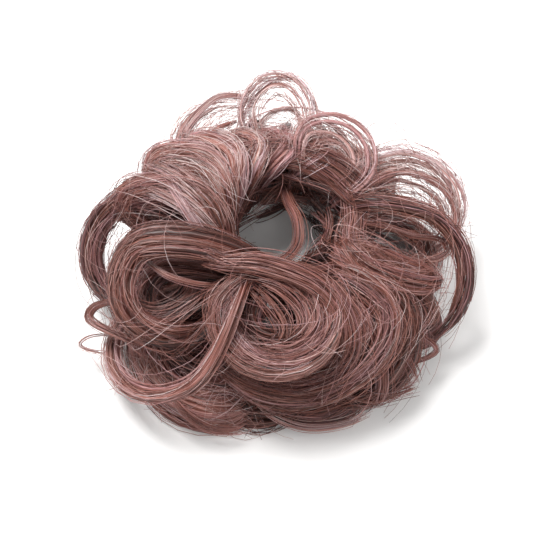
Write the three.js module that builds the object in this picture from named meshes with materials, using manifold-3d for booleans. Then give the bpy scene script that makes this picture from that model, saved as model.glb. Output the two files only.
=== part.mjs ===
// A messy-bun hairpiece: curled locks of synthetic hair sewn in tufts round an elastic band.
// Millimetres, +Z up. It lies as it would on a table: the band's axis is vertical, and the lowest
// locks are pressed flat where they rest.
import * as THREE from "three";
import Module from "manifold-3d";

const wasm = await Module();
wasm.setup();

// Driving dimensions
const HAIR_REACH = 100; // from the band's axis to the furthest curl
const HAIR_HEIGHT = 68; // from the table to the top of the highest lock
const LOCK_WIDTH = 14; // of a full lock, flat side
const LOCK_THICKNESS = 8; // of a full lock
const BAND_RADIUS = 28; // of the elastic's centre line, as worn round a ponytail
const BAND_HEIGHT = 28; // of the elastic's centre line above the table
const ELASTIC_DIAMETER = 5;
const WEFT_WALL = 4.5; // sewn hair wound round the elastic
const SEAT_GAP = 0.3; // between the elastic and the weft wound on it
const TUFT_GAP = 0.4; // between neighbouring tufts

// How finely the round forms are cut
const ELASTIC_SIDES = 8;
const ELASTIC_STEPS = 28;
const WEFT_SIDES = 8;
const WEFT_STEPS = 3;
const LOCK_SIDES = 6;
const DEGREES_PER_STEP = 36;
const ROOT_STEPS = 4;

// Shares of a lock's length and of its full size
const ROOT_SHARE = 0.24; // over which it leaves the weft, and over which one that returns joins it
const RISE_SHARE = 0.14; // over which it rises or sinks to its own height
const ROOT_FULLNESS = 0.7;
const TIP_FULLNESS = 0.3;
const TIP_SHARE = 0.3; // over which its end is drawn in

// The tufts, with the angle at the middle of each one's weft. A tuft that is earlier in this list
// lies over the later ones where they cross.
const TUFTS = [
  { name: "tuft_front", middle: 262, colour: 0x8f6b6a },
  { name: "tuft_back", middle: 82, colour: 0xa58482 },
  { name: "tuft_front_right", middle: 298, colour: 0x8a6664 },
  { name: "tuft_left", middle: 190, colour: 0x7d5a58 },
  { name: "tuft_upper_left", middle: 154, colour: 0x9a7a80 },
  { name: "tuft_back_right", middle: 46, colour: 0xa08080 },
  { name: "tuft_lower_left", middle: 226, colour: 0x8c6864 },
  { name: "tuft_right", middle: 334, colour: 0x80605e },
  { name: "tuft_back_left", middle: 118, colour: 0xa08484 },
  { name: "tuft_upper_right", middle: 10, colour: 0x94726f },
];

// One row for each lock. Angles are in degrees round the band's axis, from +X towards +Y.
//   root, back   where the lock leaves the weft, and where it joins it again (null for a free end)
//   at, out      the centre that the lock curls round: its angle, and its distance as a share of the reach
//   long, wide   the curl's half sizes outwards and sideways, as shares of the reach
//   start, turn  the angle on the curl where the lock comes in, 0 being outwards, and how far it goes round
//   zIn, zMid, zOut  the heights where it comes in, halfway and where it ends, as shares of the height
//   width, thick     as shares of a full lock's
const COLUMNS = ["tuft", "root", "back", "at", "out", "long", "wide", "start", "turn",
  "zIn", "zMid", "zOut", "width", "thick"];
const LOCKS = [
  ["tuft_front", 277, null, 211, 0.60, 0.235, 0.215, -150, 290, 0.86, 0.60, 0.30, 1.2, 1.0],
  ["tuft_front", 258, null, 211, 0.59, 0.12, 0.12, -160, 250, 0.60, 0.36, 0.22, 1.0, 1.0],
  ["tuft_front", 260, null, 268, 0.48, 0.25, 0.26, -165, 295, 0.76, 0.62, 0.76, 1.1, 1.0],
  ["tuft_front", 256, null, 268, 0.47, 0.12, 0.13, -175, 290, 0.62, 0.52, 0.58, 1.1, 0.9],
  ["tuft_front", 266, null, 262, 0.58, 0.24, 0.20, 150, -280, 0.30, 0.07, 0.05, 1.5, 1.1],
  ["tuft_back", 94, 72, 92, 0.49, 0.24, 0.155, 130, -265, 0.60, 0.70, 0.60, 0.7, 0.75],
  ["tuft_back", 84, null, 80, 0.36, 0.09, 0.09, -165, 290, 0.74, 0.60, 0.34, 1.3, 0.9],
  ["tuft_back", 78, null, 84, 0.42, 0.17, 0.12, 140, -280, 0.30, 0.05, 0.05, 1.2, 1.0],
  ["tuft_front_right", 300, null, 279, 0.52, 0.27, 0.37, 140, -215, 0.74, 0.46, 0.16, 1.6, 1.2],
  ["tuft_front_right", 308, null, 300, 0.60, 0.25, 0.29, 140, -185, 0.70, 0.34, 0.16, 1.3, 1.1],
  ["tuft_front_right", 294, null, 276, 0.50, 0.21, 0.30, 125, -200, 0.64, 0.46, 0.26, 1.4, 1.0],
  ["tuft_front_right", 292, null, 284, 0.57, 0.25, 0.24, 150, -280, 0.50, 0.06, 0.16, 1.5, 1.1],
  ["tuft_left", 184, null, 188, 0.63, 0.27, 0.25, -130, 205, 0.70, 0.42, 0.16, 1.0, 1.0],
  ["tuft_left", 190, null, 200, 0.53, 0.26, 0.16, -150, 280, 0.30, 0.05, 0.05, 1.3, 1.0],
  ["tuft_left", 202, null, 170, 0.50, 0.26, 0.07, -160, 280, 0.80, 0.56, 0.22, 1.3, 1.0],
  ["tuft_upper_left", 170, null, 154, 0.44, 0.22, 0.07, -160, 285, 0.82, 0.62, 0.20, 1.4, 1.0],
  ["tuft_upper_left", 157, null, 138, 0.39, 0.19, 0.07, -160, 285, 0.84, 0.64, 0.24, 1.3, 1.0],
  ["tuft_upper_left", 146, null, 118, 0.47, 0.26, 0.26, 110, -145, 0.56, 0.56, 0.50, 0.6, 0.75],
  ["tuft_upper_left", 142, null, 115, 0.42, 0.20, 0.20, 110, -145, 0.64, 0.62, 0.54, 0.5, 0.75],
  ["tuft_upper_left", 154, null, 158, 0.50, 0.22, 0.14, 150, -280, 0.30, 0.05, 0.05, 1.3, 1.0],
  ["tuft_back_right", 58, 34, 52, 0.36, 0.145, 0.15, 140, -280, 0.72, 0.72, 0.60, 1.1, 0.75],
  ["tuft_back_right", 40, null, 10, 0.56, 0.28, 0.23, 115, -160, 0.68, 0.60, 0.36, 0.8, 0.7],
  ["tuft_back_right", 46, null, 48, 0.50, 0.20, 0.14, 150, -280, 0.30, 0.05, 0.05, 1.3, 1.0],
  ["tuft_lower_left", 214, 238, 226, 0.71, 0.30, 0.29, -145, 285, 0.30, 0.26, 1.10, 0.7, 0.8],
  ["tuft_lower_left", 226, null, 236, 0.62, 0.26, 0.31, -110, 215, 0.24, 0.08, 0.10, 1.8, 1.3],
  ["tuft_lower_left", 232, null, 232, 0.60, 0.12, 0.14, -150, 260, 0.30, 0.20, 0.12, 1.6, 1.2],
  ["tuft_right", 345, null, 341, 0.50, 0.25, 0.10, -150, 180, 0.72, 0.58, 0.44, 0.9, 0.8],
  ["tuft_right", 330, null, 328, 0.52, 0.26, 0.08, 150, -180, 0.72, 0.48, 0.36, 0.9, 0.8],
  ["tuft_right", 337, null, 333, 0.56, 0.24, 0.13, -140, 280, 0.32, 0.05, 0.05, 1.2, 1.0],
  ["tuft_back_left", 132, null, 121, 0.35, 0.13, 0.08, -160, 285, 0.82, 0.62, 0.24, 1.2, 1.0],
  ["tuft_back_left", 112, null, 104, 0.34, 0.11, 0.08, -160, 285, 0.80, 0.62, 0.34, 1.2, 0.9],
  ["tuft_back_left", 118, null, 118, 0.48, 0.20, 0.14, 150, -280, 0.30, 0.05, 0.05, 1.2, 1.0],
  ["tuft_upper_right", 24, null, 338, 0.62, 0.27, 0.27, 150, -205, 0.78, 0.58, 0.16, 0.75, 0.9],
  ["tuft_upper_right", 12, null, 6, 0.52, 0.27, 0.18, 130, -200, 0.70, 0.56, 0.36, 0.8, 0.75],
  ["tuft_upper_right", 4, null, 2, 0.50, 0.22, 0.14, 150, -280, 0.30, 0.05, 0.05, 1.3, 1.0],
].map((row) => Object.fromEntries(COLUMNS.map((column, i) => [column, row[i]])));

const UP = new THREE.Vector3(0, 0, 1);
const radians = THREE.MathUtils.degToRad;
const { smoothstep } = THREE.MathUtils;

// A point at an angle round the band's axis
function polar(degrees, radius, height = 0) {
  const angle = radians(degrees);
  return new THREE.Vector3(radius * Math.cos(angle), radius * Math.sin(angle), height);
}

// A lock's centre line: t runs from 0 at the root to 1 at the end
function lockPoint(lock, t) {
  const phase = radians(lock.start + lock.turn * t);
  const outwards = polar(lock.at, HAIR_REACH * lock.long * Math.cos(phase));
  const sideways = polar(lock.at + 90, HAIR_REACH * lock.wide * Math.sin(phase));
  // One smooth curve through the three heights
  const height = lock.zIn * (1 - t) * (1 - 2 * t) + 4 * lock.zMid * t * (1 - t) + lock.zOut * t * (2 * t - 1);
  const point = polar(lock.at, HAIR_REACH * lock.out).add(outwards).add(sideways);
  point.lerp(polar(lock.root, BAND_RADIUS), 1 - smoothstep(t, 0, ROOT_SHARE));
  // It rises or sinks from the weft before it sets off sideways
  let risen = smoothstep(t, 0, RISE_SHARE);
  if (lock.back !== null) {
    point.lerp(polar(lock.back, BAND_RADIUS), smoothstep(t, 1 - ROOT_SHARE, 1));
    risen *= smoothstep(1 - t, 0, RISE_SHARE);
  }
  point.z = THREE.MathUtils.lerp(BAND_HEIGHT, HAIR_HEIGHT * height, risen);
  return point;
}

// How full the lock is at t: drawn in at the root, and tapered where its end is free
function lockFullness(lock, t) {
  const root = THREE.MathUtils.lerp(ROOT_FULLNESS, 1, smoothstep(t, 0, ROOT_SHARE));
  const end = lock.back === null ? TIP_FULLNESS : ROOT_FULLNESS;
  return root * THREE.MathUtils.lerp(1, end, smoothstep(t, 1 - TIP_SHARE, 1));
}

// A closed solid through rings of points that turn anticlockwise about the way they follow each other
function loft(rings) {
  const sides = rings[0].length;
  const points = rings.flat();
  const centre = (ring) => ring.reduce((sum, p) => sum.add(p), new THREE.Vector3()).divideScalar(sides);
  const first = points.push(centre(rings[0])) - 1;
  const last = points.push(centre(rings.at(-1))) - 1;
  const faces = [];
  for (let side = 0; side < sides; side += 1) {
    const next = (side + 1) % sides;
    for (let base = 0; base < (rings.length - 1) * sides; base += sides) {
      const above = base + sides;
      faces.push(base + side, base + next, above + next, base + side, above + next, above + side);
    }
    const end = (rings.length - 1) * sides;
    faces.push(first, next, side, last, end + side, end + next);
  }
  return new wasm.Manifold(new wasm.Mesh({
    numProp: 3,
    vertProperties: new Float32Array(points.flatMap((p) => p.toArray())),
    triVerts: new Uint32Array(faces),
  }));
}

// One lock as a solid, grown all round by a clearance where it is to cut a neighbour
function lockSolid(lock, grow = 0) {
  const steps = Math.ceil(Math.abs(lock.turn) / DEGREES_PER_STEP) + ROOT_STEPS;
  const flat = new THREE.Vector3();
  const rings = [];
  let along = new THREE.Vector3();
  for (let step = 0; step <= steps; step += 1) {
    const t = step / steps;
    const here = lockPoint(lock, t);
    const ahead = lockPoint(lock, Math.min(1, t + 0.5 / steps));
    const behind = lockPoint(lock, Math.max(0, t - 0.5 / steps));
    const way = ahead.sub(behind).normalize();
    // The flat side starts level and is then carried along without twisting
    if (step === 0) flat.crossVectors(UP, way).normalize();
    else flat.applyQuaternion(new THREE.Quaternion().setFromUnitVectors(along, way));
    along = way;
    const deep = new THREE.Vector3().crossVectors(way, flat);
    const full = lockFullness(lock, t);
    const halfWidth = (LOCK_WIDTH * lock.width * full) / 2 + grow;
    const halfThickness = (LOCK_THICKNESS * lock.thick * full) / 2 + grow;
    rings.push(Array.from({ length: LOCK_SIDES }, (_, side) => {
      const angle = (2 * Math.PI * (side + 0.5)) / LOCK_SIDES;
      return here.clone()
        .addScaledVector(flat, halfWidth * Math.cos(angle))
        .addScaledVector(deep, halfThickness * Math.sin(angle));
    }));
  }
  return loft(rings);
}

// A round tube bent round the band's axis between two angles
function ringArc(tubeRadius, from, to, sides, steps) {
  const rings = Array.from({ length: steps + 1 }, (_, step) => {
    const degrees = from + ((to - from) * step) / steps;
    return Array.from({ length: sides }, (__, side) => {
      const angle = (-2 * Math.PI * (side + 0.5)) / sides;
      return polar(degrees, BAND_RADIUS + tubeRadius * Math.cos(angle),
        BAND_HEIGHT + tubeRadius * Math.sin(angle));
    });
  });
  return loft(rings);
}

const boreRadius = ELASTIC_DIAMETER / 2 + SEAT_GAP;
const weftRadius = boreRadius + WEFT_WALL;
const weftSpan = 360 / TUFTS.length;

// The channel that the elastic runs in, as two half rings
function boreSolid() {
  const halfRing = (from) => ringArc(boreRadius, from, from + 180, ELASTIC_SIDES, ELASTIC_STEPS / 2);
  return halfRing(0).add(halfRing(180));
}

// The stretch of wound hair that one tuft is sewn to, grown by a clearance where it is to cut a neighbour
function weftArc(tuft, grow = 0) {
  const half = weftSpan / 2 + THREE.MathUtils.radToDeg((grow - TUFT_GAP / 2) / BAND_RADIUS);
  return ringArc(weftRadius + grow, tuft.middle - half, tuft.middle + half, WEFT_SIDES, WEFT_STEPS);
}

// A manifold solid as three.js geometry
function geometryOf(solid) {
  const mesh = solid.getMesh();
  const geometry = new THREE.BufferGeometry();
  geometry.setAttribute("position", new THREE.BufferAttribute(new Float32Array(mesh.vertProperties), 3));
  geometry.setIndex(new THREE.BufferAttribute(new Uint32Array(mesh.triVerts), 1));
  geometry.computeVertexNormals();
  return geometry;
}

// Slivers that a cut leaves loose are no part of the tuft
const largest = (solid) => solid.decompose().reduce((a, b) => (a.volume() > b.volume() ? a : b));

// The elastic: one closed ring
function elasticBand() {
  const ring = new THREE.TorusGeometry(BAND_RADIUS, ELASTIC_DIAMETER / 2, ELASTIC_SIDES, ELASTIC_STEPS);
  const finish = new THREE.MeshStandardMaterial({ color: 0x3a2a2a, roughness: 0.8, metalness: 0 });
  const band = new THREE.Mesh(ring, finish);
  band.name = "elastic_band";
  band.position.z = BAND_HEIGHT;
  return band;
}

// Each tuft is its own locks fused to its own weft. Where locks of two tufts cross, the earlier
// tuft's are whole and dent the later one's, with the gap between them.
function hairTufts() {
  const bore = boreSolid();
  let taken = null;
  return TUFTS.map((tuft) => {
    const rows = LOCKS.filter((lock) => lock.tuft === tuft.name);
    let hair = wasm.Manifold.union(rows.map((lock) => lockSolid(lock)));
    const others = TUFTS.filter((other) => other !== tuft).map((other) => weftArc(other, TUFT_GAP));
    hair = hair.subtract(wasm.Manifold.union(others));
    if (taken) hair = hair.subtract(taken);
    hair = hair.add(weftArc(tuft)).subtract(bore);
    hair = hair.trimByPlane(UP.toArray(), 0); // pressed flat on the table
    const grown = wasm.Manifold.union(rows.map((lock) => lockSolid(lock, TUFT_GAP)));
    taken = taken ? taken.add(grown) : grown;
    const finish = new THREE.MeshStandardMaterial({ color: tuft.colour, roughness: 0.5, metalness: 0 });
    const mesh = new THREE.Mesh(geometryOf(largest(hair)), finish);
    mesh.name = tuft.name;
    return mesh;
  });
}

const hairpiece = new THREE.Group();
hairpiece.add(elasticBand(), ...hairTufts());

// The origin is on the table, under the middle of the whole piece
const box = new THREE.Box3().setFromObject(hairpiece, true);
const middle = box.getCenter(new THREE.Vector3());
hairpiece.position.set(-middle.x, -middle.y, -box.min.z);

export default hairpiece;
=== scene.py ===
"""A messy-bun hairpiece: tufts of curled synthetic hair sewn round a braided elastic."""

import logging
import math
from dataclasses import dataclass, field, replace
from enum import Enum
from typing import Any

import bpy
import numpy as np
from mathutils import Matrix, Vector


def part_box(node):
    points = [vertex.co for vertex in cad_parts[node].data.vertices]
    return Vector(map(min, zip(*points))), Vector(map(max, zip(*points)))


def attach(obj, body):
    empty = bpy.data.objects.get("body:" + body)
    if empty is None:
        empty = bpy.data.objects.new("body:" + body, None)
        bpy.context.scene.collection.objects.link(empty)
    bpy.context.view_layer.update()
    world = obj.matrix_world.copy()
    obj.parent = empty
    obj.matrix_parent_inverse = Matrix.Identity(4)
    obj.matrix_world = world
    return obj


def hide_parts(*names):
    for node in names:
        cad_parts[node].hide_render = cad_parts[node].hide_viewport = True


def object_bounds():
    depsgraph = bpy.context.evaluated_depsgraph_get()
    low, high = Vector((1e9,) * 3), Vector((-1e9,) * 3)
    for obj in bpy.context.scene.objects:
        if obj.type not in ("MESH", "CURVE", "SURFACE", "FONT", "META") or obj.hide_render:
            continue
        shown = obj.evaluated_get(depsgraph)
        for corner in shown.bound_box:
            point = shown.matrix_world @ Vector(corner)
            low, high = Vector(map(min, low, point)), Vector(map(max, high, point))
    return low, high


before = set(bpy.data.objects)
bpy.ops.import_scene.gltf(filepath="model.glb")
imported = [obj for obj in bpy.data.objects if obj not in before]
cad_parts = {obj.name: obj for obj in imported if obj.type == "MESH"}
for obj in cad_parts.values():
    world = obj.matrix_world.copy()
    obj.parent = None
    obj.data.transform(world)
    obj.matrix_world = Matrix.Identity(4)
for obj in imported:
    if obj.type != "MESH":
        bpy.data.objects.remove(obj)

LOG = logging.getLogger("hairpiece")
MM = 0.001
HAIR_SIDES, BUNDLE_SIDES, CORD_SIDES = 3, 5, 6
Array = np.ndarray
Span = tuple[float, float]
CAD_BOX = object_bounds()


def linear(hex_code: str) -> tuple[float, float, float, float]:
    """Turns an sRGB hex colour into linear light.

    Args:
        hex_code: the colour as "#rrggbb".

    Returns:
        Red, green, blue and an alpha of one, all linear.
    """
    parts = [int(hex_code[i:i + 2], 16) / 255 for i in (1, 3, 5)]
    red, green, blue = (p / 12.92 if p <= 0.04045 else ((p + 0.055) / 1.055) ** 2.4 for p in parts)
    return red, green, blue, 1.0


def add_node(tree: bpy.types.NodeTree, kind: str, inputs: dict[str | int, Any] | None = None,
             **settings: Any) -> bpy.types.Node:
    """Adds one node with its settings and inputs.

    Args:
        tree: the node tree that takes the node.
        kind: the node's type name.
        inputs: socket name or number to a value, or to an output socket that is linked to it.
        settings: the node's own properties.

    Returns:
        The new node.
    """
    node = tree.nodes.new(kind)
    for name, value in settings.items():
        setattr(node, name, value)
    for key, value in (inputs or {}).items():
        if isinstance(value, bpy.types.NodeSocket):
            tree.links.new(value, node.inputs[key])
        else:
            node.inputs[key].default_value = value
    return node


def smoothstep(x: Array, low: float, high: float) -> Array:
    """Rises smoothly from 0, where x is low, to 1, where x is high."""
    s = np.clip((x - low) / (high - low), 0, 1)
    return s * s * (3 - 2 * s)


def unit(vectors: Array) -> Array:
    """Scales vectors, whose last axis is x, y and z, to length one."""
    return vectors / np.maximum(np.linalg.norm(vectors, axis=-1, keepdims=True), 1e-9)


def polar(degrees: float) -> Array:
    """Gives the level direction at an angle from +X towards +Y, as a vector of length one."""
    return np.array([math.cos(math.radians(degrees)), math.sin(math.radians(degrees)), 0.0])


class Tone(Enum):
    """How light a lock is, as a place on the fibre's ramp from dark to light. Part of it is the dye's own mix
    of tones, and part is painted light and shade: most locks that lie under others are drawn deep as painted
    shade, and the thin loops at the top are drawn light or pale as painted light shining through them.
    """

    DEEP = 0.38
    DUSK = 0.43
    MAIN = 0.49
    WARM = 0.58
    LIGHT = 0.75
    PALE = 0.88


class Fill(Enum):
    """How a lock is filled, beside a full lock: its shares of bundles and strands, how far they spread,
    and how thick its bundles are."""

    FULL = (1.0, 1.0, 1.0, 1.0)
    UNDER = (0.9, 0.42, 1.0, 1.0)
    OPEN = (0.32, 0.48, 1.5, 0.7)
    SHEER = (0.5, 0.5, 1.4, 0.4)

    def __init__(self, bundles: float, strands: float, reach: float, thickness: float) -> None:
        """Names the four shares."""
        self.bundles, self.strands, self.reach, self.thickness = bundles, strands, reach, thickness


@dataclass(frozen=True)
class BunSizes:
    """The sizes that every lock takes its own from, in millimetres, and shares of a lock's length."""

    reach: float = 100.0
    height: float = 68.0
    lock_width: float = 14.0
    lock_thickness: float = 8.0
    elastic_radius: float = 2.5
    elastic_gap: float = 0.9
    weft_radius: float = 7.3
    root_share: float = 0.24
    rise_share: float = 0.14
    root_fullness: float = 0.7
    tip_fullness: float = 0.3
    tip_share: float = 0.3
    frizz: float = 5.0
    stray_limit: float = 3.0
    ease_share: float = 0.028


@dataclass(frozen=True)
class Curl:
    """One lock. Angles are in degrees round the band's axis, and lengths are shares of the bun's sizes."""

    root: float
    back: float | None
    at: float
    out: float
    long: float
    wide: float
    start: float
    turn: float
    z_in: float
    z_mid: float
    z_out: float
    width: float
    thick: float
    tone: Tone = Tone.MAIN
    fill: Fill = Fill.FULL


@dataclass(frozen=True)
class Wisp:
    """A thin lock of loose strands through chosen points, in millimetres from the band's axis. Its hue,
    where it has one, leans from rose, at 0, to gold, at 1."""

    points: tuple[tuple[float, float, float], ...]
    strands: int
    width: float
    tone: Tone = Tone.MAIN
    hue: float | None = None


class Band:
    """Where the elastic's centre line lies, read from the fixed frame, in millimetres."""

    def __init__(self, node: str, sizes: BunSizes) -> None:
        """Reads the band's place, and the box that the hair may fill.

        Args:
            node: the elastic's name in the frame.
            sizes: the bun's sizes.
        """
        low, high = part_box(node)
        middle = (low + high) / 2 / MM
        self.axis = np.array([middle.x, middle.y, 0.0])
        self.height = middle.z
        self.radius = (high.x - low.x) / MM / 2 - sizes.elastic_radius
        self.sizes = sizes
        cad_low, cad_high = CAD_BOX
        self.low = np.array(cad_low) / MM - self.axis
        self.high = np.array(cad_high) / MM - self.axis

    def ring(self, angle: Array, off: Array, lean: Array) -> Array:
        """Gives points round the elastic.

        Args:
            angle: angles round the band's axis, in radians.
            off: distances off the elastic's centre line.
            lean: angles round that line, from outwards over the top.

        Returns:
            One point for each angle.
        """
        level = self.radius + off * np.cos(lean)
        height = self.height + off * np.sin(lean)
        return np.stack([level * np.cos(angle), level * np.sin(angle), height + 0 * angle], axis=-1)

    def inside(self, paths: Array) -> Array:
        """Tells which rows of points stay near the bun's box, so that no hair is bent along its sides."""
        beyond = np.maximum(paths - self.high, self.low - paths).max(axis=(-2, -1))
        return beyond < self.sizes.stray_limit

    def settle(self, paths: Array, lift: Array | float) -> Array:
        """Moves points out of the elastic, inside the bun's outline and up from where it rests.

        Args:
            paths: points from the band's axis.
            lift: the least height.

        Returns:
            The points, moved where they had to be.
        """
        level = np.linalg.norm(paths[..., :2], axis=-1, keepdims=True)
        centre = np.concatenate([paths[..., :2] / np.maximum(level, 1e-6) * self.radius,
                                 np.full(level.shape, self.height)], axis=-1)
        away = paths - centre
        far = np.maximum(np.linalg.norm(away, axis=-1, keepdims=True), 1e-6)
        clear = self.sizes.elastic_radius + self.sizes.elastic_gap
        paths = np.where(far < clear, centre + away / far * clear, paths)
        frizz = self.sizes.frizz
        over = np.maximum(paths - self.high, 0)
        under = np.maximum(self.low - paths, 0)
        paths = np.clip(paths, self.low, self.high)
        paths = paths + frizz * np.tanh(over / frizz) - frizz * np.tanh(under / frizz)
        paths[..., 2] = np.maximum(paths[..., 2], lift)
        return paths


class CurlLine:
    """A lock's centre line, measured so that even steps fall most closely where it bends most.

    TABLE is how many points are kept of the DENSE ones that are measured, BEND_SHARE is how much bends
    count beside length, and EASING pairs steps along the line with their weights."""

    TABLE = 181
    DENSE = 361
    BEND_SHARE = 0.65
    EASING = ((-2, 1), (-1, 2), (0, 3), (1, 2), (2, 1))

    def __init__(self, curl: Curl, band: Band) -> None:
        """Measures the line.

        Args:
            curl: the lock.
            band: where the elastic lies.
        """
        self.curl = curl
        self.band = band
        dense = np.linspace(0, 1, self.DENSE)
        step = np.diff(self.eased(dense), axis=0)
        length = np.linalg.norm(step, axis=1)
        bend = np.arccos(np.clip(np.sum(unit(step[:-1]) * unit(step[1:]), axis=1), -1, 1))
        bend = np.append(bend, bend[-1])
        share = (1 - self.BEND_SHARE) * length / length.sum() + self.BEND_SHARE * bend / bend.sum()
        measure = np.concatenate([[0.0], np.cumsum(share)])
        self.t = np.interp(np.linspace(0, 1, self.TABLE), measure, dense)
        self.points = self.eased(self.t)

    def eased(self, t: Array) -> Array:
        """Gives points of the centre line with its corners rounded, as hair bends.

        Args:
            t: places along the lock, from 0 at its root to 1 at its end.

        Returns:
            One point for each place.
        """
        ease = self.band.sizes.ease_share
        near = (weight * self.line(np.clip(t + k * ease, 0, 1)) for k, weight in self.EASING)
        return sum(near) / sum(weight for _, weight in self.EASING)

    def line(self, t: Array) -> Array:
        """Gives points of the centre line.

        Args:
            t: places along the lock, from 0 at its root to 1 at its end.

        Returns:
            One point for each place.
        """
        c, s = self.curl, self.band.sizes
        phase = np.radians(c.start + c.turn * t)
        outwards = polar(c.at) * (s.reach * c.long * np.cos(phase))[:, None]
        sideways = polar(c.at + 90) * (s.reach * c.wide * np.sin(phase))[:, None]
        point = polar(c.at) * s.reach * c.out + outwards + sideways
        leaving = smoothstep(t, 0, s.root_share)[:, None]
        point = polar(c.root) * self.band.radius * (1 - leaving) + point * leaving
        risen = smoothstep(t, 0, s.rise_share)
        if c.back is not None:
            joining = smoothstep(t, 1 - s.root_share, 1)[:, None]
            point = point * (1 - joining) + polar(c.back) * self.band.radius * joining
            risen = risen * smoothstep(1 - t, 0, s.rise_share)
        height = c.z_in * (1 - t) * (1 - 2 * t) + 4 * c.z_mid * t * (1 - t) + c.z_out * t * (2 * t - 1)
        point[:, 2] = self.band.height * (1 - risen) + s.height * height * risen
        return point

    def gather(self, table: Array, q: Array) -> Array:
        """Reads one of the line's tables between its points.

        Args:
            table: values along the line.
            q: places in the table, from 0 to 1.

        Returns:
            The values there.
        """
        place = np.clip(q, 0, 1) * (self.TABLE - 1)
        low = np.minimum(place.astype(int), self.TABLE - 2)
        share = place - low
        if table.ndim > 1:
            share = share[..., None]
        return table[low] * (1 - share) + table[low + 1] * share


class CurlPath(CurlLine):
    """A lock's centre line with the frame that is carried along it, its half sizes and its fullness,
    as a share of them at each point."""

    def __init__(self, curl: Curl, band: Band) -> None:
        """Works out the frame.

        Args:
            curl: the lock.
            band: where the elastic lies.
        """
        super().__init__(curl, band)
        self.half_width = band.sizes.lock_width * curl.width / 2
        self.half_thick = band.sizes.lock_thickness * curl.thick / 2
        self.way = unit(np.gradient(self.points, axis=0))
        self.flat = self._carried()
        self.deep = np.cross(self.way, self.flat)
        # Drawn in at its root, and tapered where its end is free
        s = band.sizes
        root = s.root_fullness + (1 - s.root_fullness) * smoothstep(self.t, 0, s.root_share)
        end = s.tip_fullness if curl.back is None else s.root_fullness
        self.full = root * (1 + (end - 1) * smoothstep(self.t, 1 - s.tip_share, 1))

    def _carried(self) -> Array:
        """Carries a level cross direction along the line without twisting it.

        Returns:
            The lock's flat direction at each point.
        """
        flat = np.empty_like(self.way)
        flat[0] = unit(np.cross([0.0, 0.0, 1.0], self.way[0]))
        for i in range(1, len(flat)):
            axis = np.cross(self.way[i - 1], self.way[i])
            cosine = float(self.way[i - 1] @ self.way[i])
            last = flat[i - 1]
            turned = last * cosine + np.cross(axis, last) + axis * (axis @ last) / (1 + cosine)
            flat[i] = unit(turned - self.way[i] * (turned @ self.way[i]))
        return flat

    def from_root(self, q: Array) -> Array:
        """Gives how far places are from the nearest sewn end, as shares of the lock's length."""
        t = self.gather(self.t, q)
        return t if self.curl.back is None else np.minimum(t, 1 - t)

    def place(self, q: Array, a: Array, b: Array) -> Array:
        """Places points given across the lock's section.

        Args:
            q: places along the lock's tables.
            a: places across the flat side, as shares of its half width.
            b: places across the thickness, as shares of its half.

        Returns:
            One point for each.
        """
        full = self.gather(self.full, q)
        across = (a * self.half_width * full)[..., None] * self.gather(self.flat, q)
        through = (b * self.half_thick * full)[..., None] * self.gather(self.deep, q)
        return self.gather(self.points, q) + across + through


class Bundles:
    """A lock's bundles: where they run within its section, slowly twisting and swaying, and their dye.

    REACH and SWAY are shares of the section's half sizes, and CROWDING is how far bundles overlap."""

    LEAST = 5
    REACH = 0.72
    SWAY = 0.15
    CROWDING = 1.12

    def __init__(self, path: CurlPath, density: float, rng: np.random.Generator) -> None:
        """Draws the bundles.

        Args:
            path: the lock's line.
            density: how many bundles a lock of the bun's own section has.
            rng: the tuft's own random draws.
        """
        curl = path.curl
        self.count = max(self.LEAST, round(density * curl.width * math.sqrt(curl.thick)))
        # Even places over the section, on a golden spiral
        place = np.arange(self.count) + 0.5
        angle = math.pi * (3 - math.sqrt(5)) * place
        away = self.REACH * curl.fill.reach * np.sqrt(place / self.count)
        self.a, self.b = away * np.cos(angle), away * np.sin(angle)
        self.radius = self.CROWDING * math.sqrt(path.half_width * path.half_thick / self.count)
        self.twist = rng.uniform(0.5, 1.5) * rng.choice([-1.0, 1.0])
        self.pace = rng.uniform(0.5, 1.5, (2, self.count))
        self.phase = rng.uniform(0, 2 * np.pi, (2, self.count))
        self.tone = curl.tone.value + rng.normal(0, 0.08, self.count)
        self.hue = rng.random(self.count)

    def offsets(self, own: Array, q: Array) -> tuple[Array, Array]:
        """Gives where bundles are in the section.

        Args:
            own: which bundle each row follows.
            q: places along the lock, a row for each.

        Returns:
            Places across the flat side and through the thickness.
        """
        turn = self.twist * (q - 0.5)
        waves = (2 * np.pi * self.pace[k][own, None] * q + self.phase[k][own, None] for k in (0, 1))
        sway = [self.SWAY * np.sin(wave) for wave in waves]
        a0, b0 = self.a[own, None], self.b[own, None]
        return (a0 * np.cos(turn) - b0 * np.sin(turn) + sway[0],
                a0 * np.sin(turn) + b0 * np.cos(turn) + sway[1])


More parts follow.
